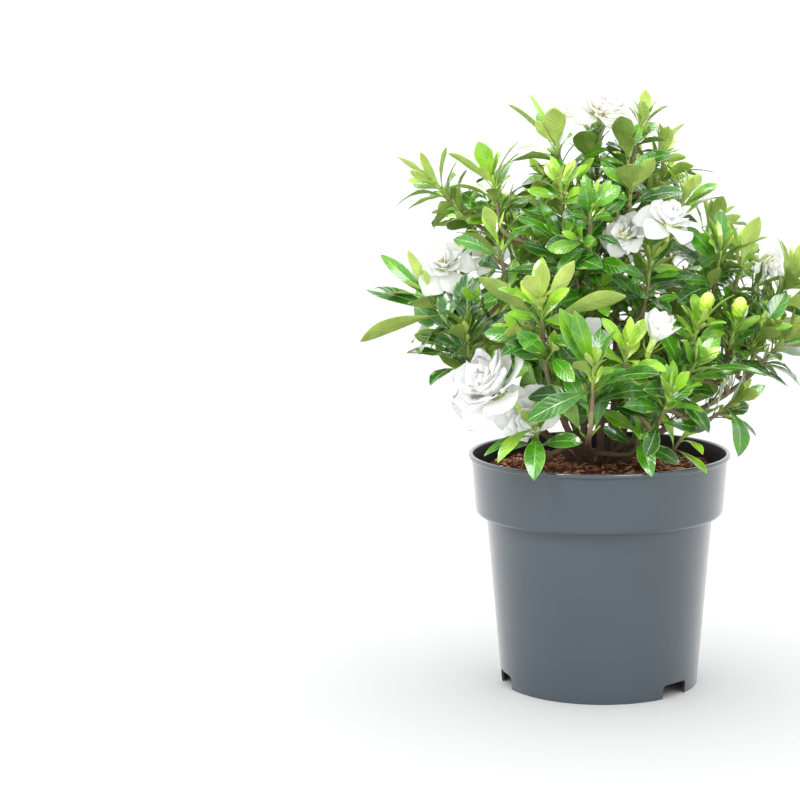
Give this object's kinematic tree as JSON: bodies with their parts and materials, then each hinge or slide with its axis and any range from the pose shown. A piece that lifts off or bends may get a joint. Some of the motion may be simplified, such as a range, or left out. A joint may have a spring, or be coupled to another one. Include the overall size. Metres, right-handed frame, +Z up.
{
  "type": "potted gardenia",
  "caption": "Evergreen gardenia shrub with glossy leaves and double white blooms, growing in a round dark grey nursery pot filled with compost.",
  "frame": {"origin": "the middle of the pot's foot, on the surface that the pot stands on", "axes": "+Z up along the pot's axis, -Y towards the side that is seen first, +X to the right from there"},
  "size_m": [0.409, 0.3265, 0.522],
  "materials": {
    "pot": "satin moulded polypropylene, slate grey",
    "compost": "damp bark and coir chips, matt",
    "bark": "thin grey-brown bark, slightly fissured",
    "leaf": "glossy waxy upper face, paler matt underside",
    "petal": "soft velvety white",
    "bud": "satin yellow-green"
  },
  "bodies": {
    "root": {"pot": "pot", "soil": "compost", "woody_stems": "bark", "back_left_low": "leaf", "back_low_left": "leaf", "back_low_right": "leaf", "back_middle": "leaf", "back_outer_right": "leaf", "back_peak": "leaf", "back_right": "leaf", "back_shoulder": "leaf", "front_fork": "leaf", "front_pale": "leaf", "front_rosette": "leaf", "front_tall": "leaf", "glossy": "leaf", "grey_upright": "leaf", "left_dark": "leaf", "left_front": "leaf", "left_inner": "leaf", "left_low": "leaf", "left_shoulder": "leaf", "left_upright": "leaf", "mid_left": "leaf", "narrow_rosette": "leaf", "over_soil": "leaf", "right_bloom": "leaf", "right_bud": "leaf", "right_bud_low": "leaf", "right_bud_mid": "leaf", "right_edge": "leaf", "right_high": "leaf", "right_level": "leaf", "right_mid": "leaf", "right_outer": "leaf", "right_peak": "leaf", "right_shoulder": "leaf", "rim_front": "leaf", "rim_right": "leaf", "rim_rosette": "leaf", "top_bloom": "leaf", "top_inner": "leaf", "top_left": "leaf", "top_right": "leaf", "top_shade": "leaf", "under_bloom": "leaf", "bloom_back": "petal", "bloom_back_left": "petal", "bloom_behind": "petal", "bloom_front": "petal", "bloom_inner": "petal", "bloom_left": "petal", "bloom_middle": "petal", "bloom_opening": "petal", "bloom_right": "petal", "bloom_side": "petal", "bloom_top": "petal", "bud_high": "bud", "bud_low": "bud", "bud_mid": "bud"}
  },
  "joints": []
}
